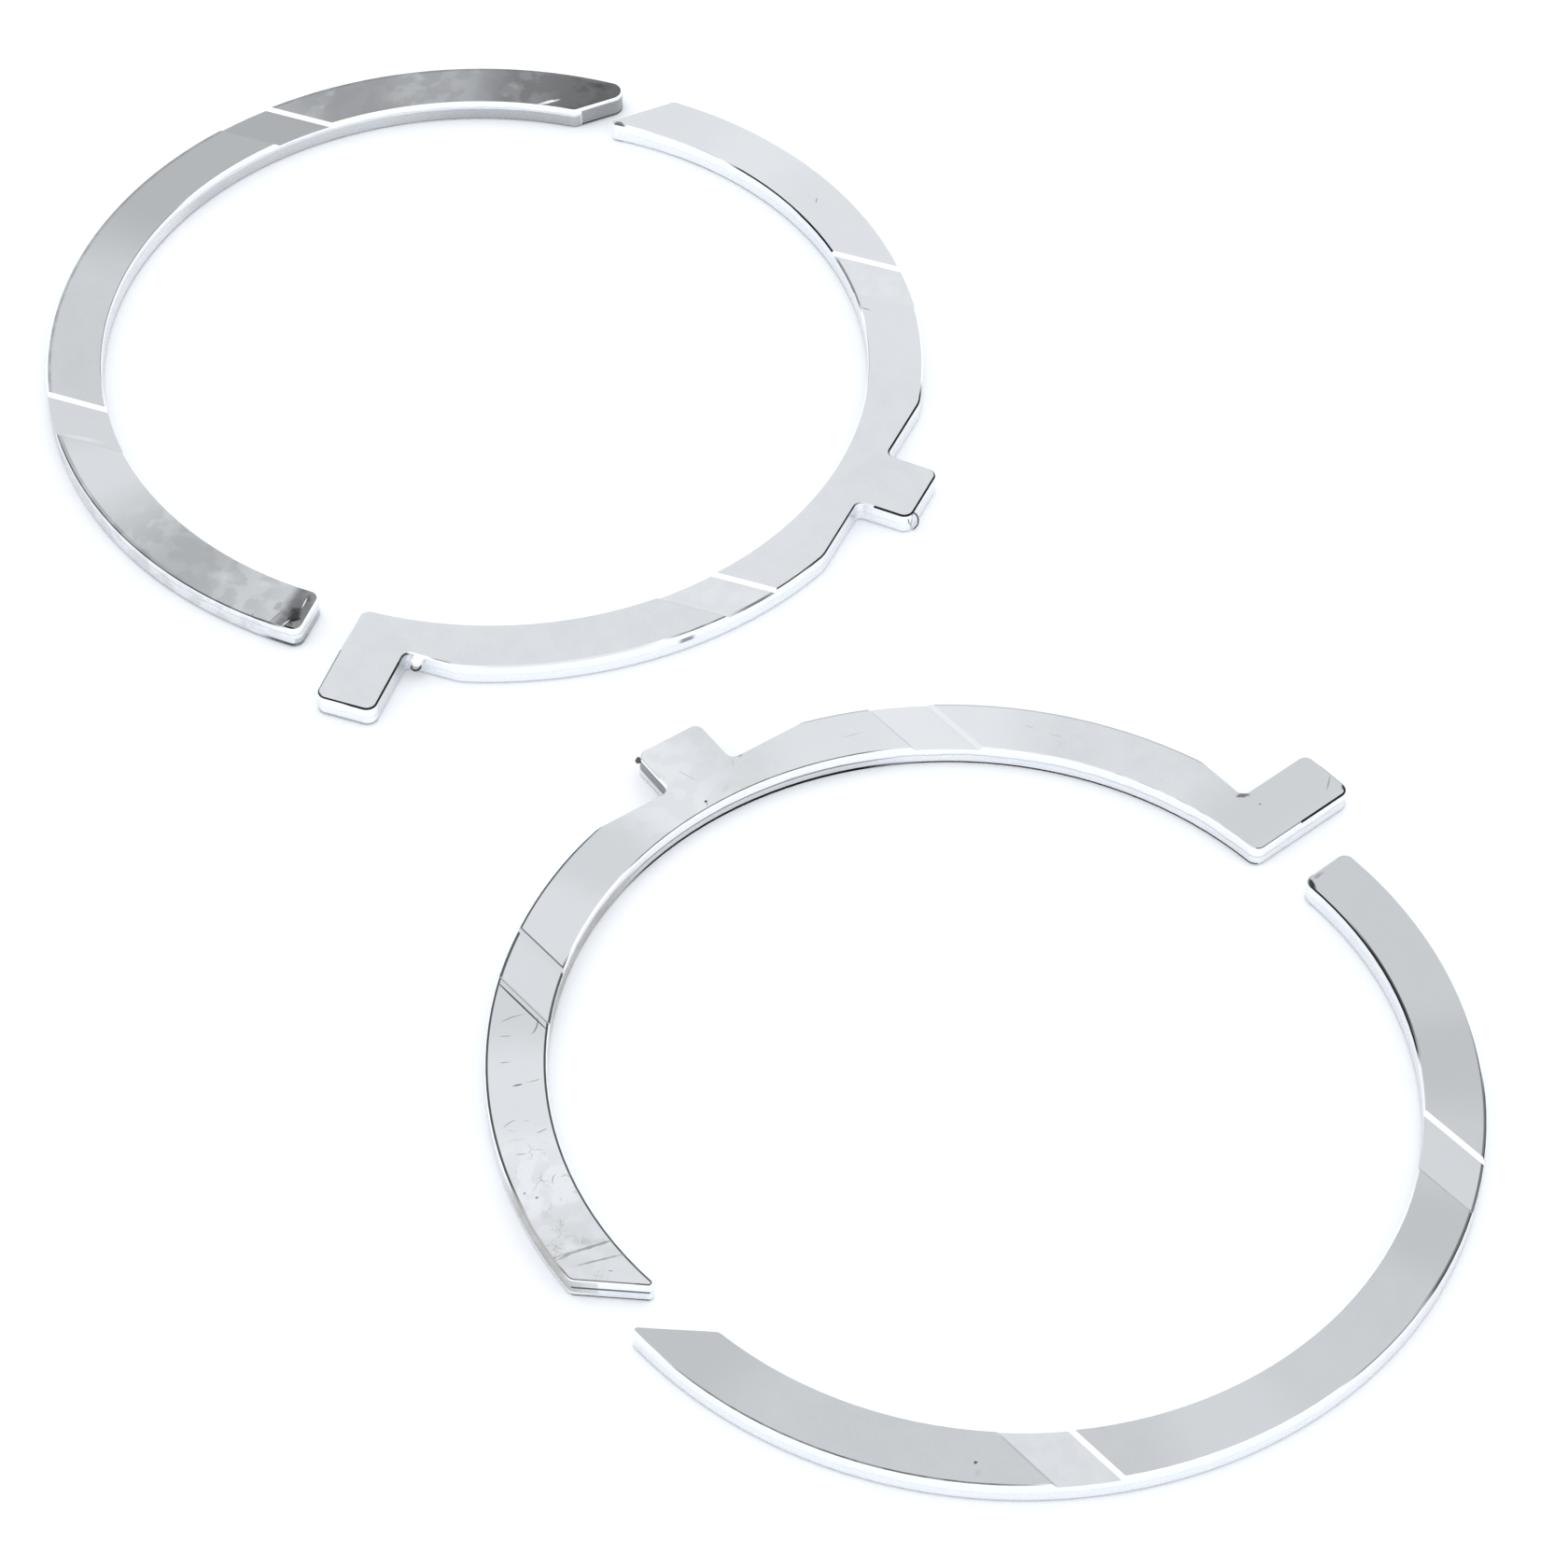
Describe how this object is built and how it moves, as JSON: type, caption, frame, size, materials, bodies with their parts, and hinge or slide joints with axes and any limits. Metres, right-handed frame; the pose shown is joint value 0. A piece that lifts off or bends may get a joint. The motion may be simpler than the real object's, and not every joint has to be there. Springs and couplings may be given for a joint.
{
  "type": "pair of thrust washers",
  "caption": "Split flat rings that take end thrust at a shaft's main bearing, each with a plain half and a half with locating tabs, with shallow oil grooves across one face.",
  "frame": {"origin": "midway between the two washers, on the plane that they lie on", "axes": "+Z out of the grooved faces, +Y along the longer side of the layout, from the second washer towards the first"},
  "size_m": [0.2102, 0.2748, 0.0036],
  "materials": {
    "dull_steel": "satin, darker and scuffed, burnished edges",
    "ground_steel": "fine ground satin with faint mottling",
    "worn_steel": "fine ground satin with light scratches"
  },
  "bodies": {
    "root": {"first_washer_plain_half": "dull_steel", "first_washer_tabbed_half": "ground_steel", "second_washer_tabbed_half": "ground_steel", "second_washer_plain_half": "worn_steel"}
  },
  "joints": []
}
